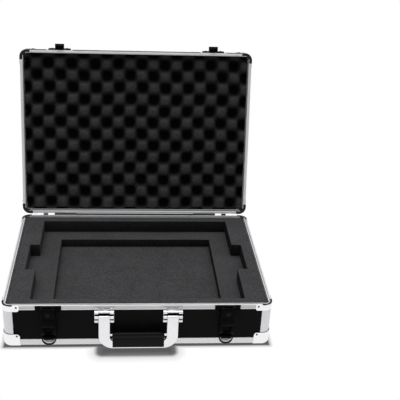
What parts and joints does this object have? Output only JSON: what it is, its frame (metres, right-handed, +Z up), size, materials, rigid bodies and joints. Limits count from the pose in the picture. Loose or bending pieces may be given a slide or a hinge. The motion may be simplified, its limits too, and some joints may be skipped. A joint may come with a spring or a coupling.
{
  "type": "dj controller case",
  "caption": "Black laminate carrying case with aluminium edges, chrome corners, cut foam base, egg-crate foam lid, key latches, strap rings and a fold-down handle.",
  "frame": {"origin": "centre of the base's footprint, on the plane of the feet's soles", "axes": "+X to the case's right as seen from the front, +Y from the handle side to the hinge side, +Z up; the lid stands open at 103.5 degrees"},
  "size_m": [0.4634, 0.4734, 0.4198],
  "materials": {
    "black_laminate": "satin",
    "eggcrate_foam": "matte",
    "charcoal_foam": "matte",
    "satin_aluminium": "satin",
    "chrome_corners": "polished",
    "rivet_steel": "satin",
    "black_rubber": "matte",
    "hinge_steel": "satin",
    "handle_metal": "satin",
    "handle_chrome": "polished",
    "grip_plastic": "satin",
    "ring_wire": "gloss",
    "key_metal": "satin",
    "plain_steel": "satin",
    "latch_black": "satin"
  },
  "bodies": {
    "base": {"base_floor_panel": "black_laminate", "base_front_panel": "black_laminate", "base_back_panel": "black_laminate", "base_side_panels": "black_laminate", "base_long_edges": "satin_aluminium", "base_short_edges": "satin_aluminium", "base_long_rims": "satin_aluminium", "base_short_rims": "satin_aluminium", "base_corner_posts": "satin_aluminium", "base_corner_caps": "chrome_corners", "base_rim_corners": "chrome_corners", "base_rivets": "rivet_steel", "feet": "black_rubber", "foot_screws": "plain_steel", "foam_top_layer": "charcoal_foam", "foam_middle_layer": "charcoal_foam", "foam_bottom_sheet": "charcoal_foam", "hinge_base_leaves": "hinge_steel", "hinge_base_rivets": "rivet_steel", "hinge_pins": "hinge_steel", "rear_buffers": "black_rubber", "handle_brackets": "handle_chrome", "handle_pins": "handle_chrome", "latch_plate_left": "latch_black", "latch_plate_right": "latch_black", "latch_housing_left": "latch_black", "latch_housing_right": "latch_black", "latch_pins": "plain_steel", "latch_springs": "plain_steel", "latch_rivets": "latch_black", "ring_clips": "latch_black"},
    "lid": {"lid_floor_panel": "black_laminate", "lid_front_panel": "black_laminate", "lid_back_panel": "black_laminate", "lid_side_panels": "black_laminate", "lid_long_edges": "satin_aluminium", "lid_short_edges": "satin_aluminium", "lid_long_rims": "satin_aluminium", "lid_short_rims": "satin_aluminium", "lid_corner_posts": "satin_aluminium", "lid_corner_caps": "chrome_corners", "lid_rim_corners": "chrome_corners", "lid_rivets": "rivet_steel", "lid_foam": "eggcrate_foam", "hinge_lid_leaves": "hinge_steel", "hinge_lid_rivets": "rivet_steel", "lid_keepers": "latch_black", "keeper_rivets": "latch_black"},
    "handle": {"handle_bail": "handle_metal", "handle_grip": "grip_plastic", "grip_rod": "handle_chrome"},
    "lever_left": {"latch_lever_left": "latch_black"},
    "pawl_left": {"latch_pawl_left": "latch_black"},
    "key_left": {"key_cylinder_left": "key_metal"},
    "ring_left": {"strap_ring_left": "ring_wire"},
    "lever_right": {"latch_lever_right": "latch_black"},
    "pawl_right": {"latch_pawl_right": "latch_black"},
    "key_right": {"key_cylinder_right": "key_metal"},
    "ring_right": {"strap_ring_right": "ring_wire"}
  },
  "joints": [
    {"name": "lid_hinge", "type": "hinge", "parent": "base", "child": "lid", "pos_m": [0, 0.1674, 0.0847], "axis": [1, 0, 0], "range_deg": [0, 103.5]},
    {"name": "handle_pivot", "type": "hinge", "parent": "base", "child": "handle", "pos_m": [0, -0.178, 0.0691], "axis": [-1, 0, 0], "range_deg": [-7, 95]},
    {"name": "lever_left_pivot", "type": "hinge", "parent": "base", "child": "lever_left", "pos_m": [-0.1523, -0.1722, 0.0607], "axis": [-1, 0, 0], "range_deg": [0, 75], "stiffness_Nm_per_rad": 0.02, "springref_deg": -20.05},
    {"name": "pawl_left_slide", "type": "slide", "parent": "base", "child": "pawl_left", "axis": [0, 1, 0], "range_m": [0, 0.0021]},
    {"name": "key_left_turn", "type": "hinge", "parent": "base", "child": "key_left", "pos_m": [-0.1523, -0.178, 0.073], "axis": [0, -1, 0], "range_deg": [0, 90]},
    {"name": "ring_left_swing", "type": "hinge", "parent": "base", "child": "ring_left", "pos_m": [-0.1523, -0.1692, 0.0215], "axis": [-1, 0, 0], "range_deg": [-10, 150]},
    {"name": "lever_right_pivot", "type": "hinge", "parent": "base", "child": "lever_right", "pos_m": [0.1523, -0.1722, 0.0607], "axis": [-1, 0, 0], "range_deg": [0, 75], "stiffness_Nm_per_rad": 0.02, "springref_deg": -20.05},
    {"name": "pawl_right_slide", "type": "slide", "parent": "base", "child": "pawl_right", "axis": [0, 1, 0], "range_m": [0, 0.0021]},
    {"name": "key_right_turn", "type": "hinge", "parent": "base", "child": "key_right", "pos_m": [0.1523, -0.178, 0.073], "axis": [0, -1, 0], "range_deg": [0, 90]},
    {"name": "ring_right_swing", "type": "hinge", "parent": "base", "child": "ring_right", "pos_m": [0.1523, -0.1692, 0.0215], "axis": [-1, 0, 0], "range_deg": [-10, 150]}
  ],
  "couplings": [
    {"joint": "pawl_left_slide", "follows": "lever_left_pivot", "m_per_rad": 0.001528},
    {"joint": "pawl_right_slide", "follows": "lever_right_pivot", "m_per_rad": 0.001528}
  ]
}
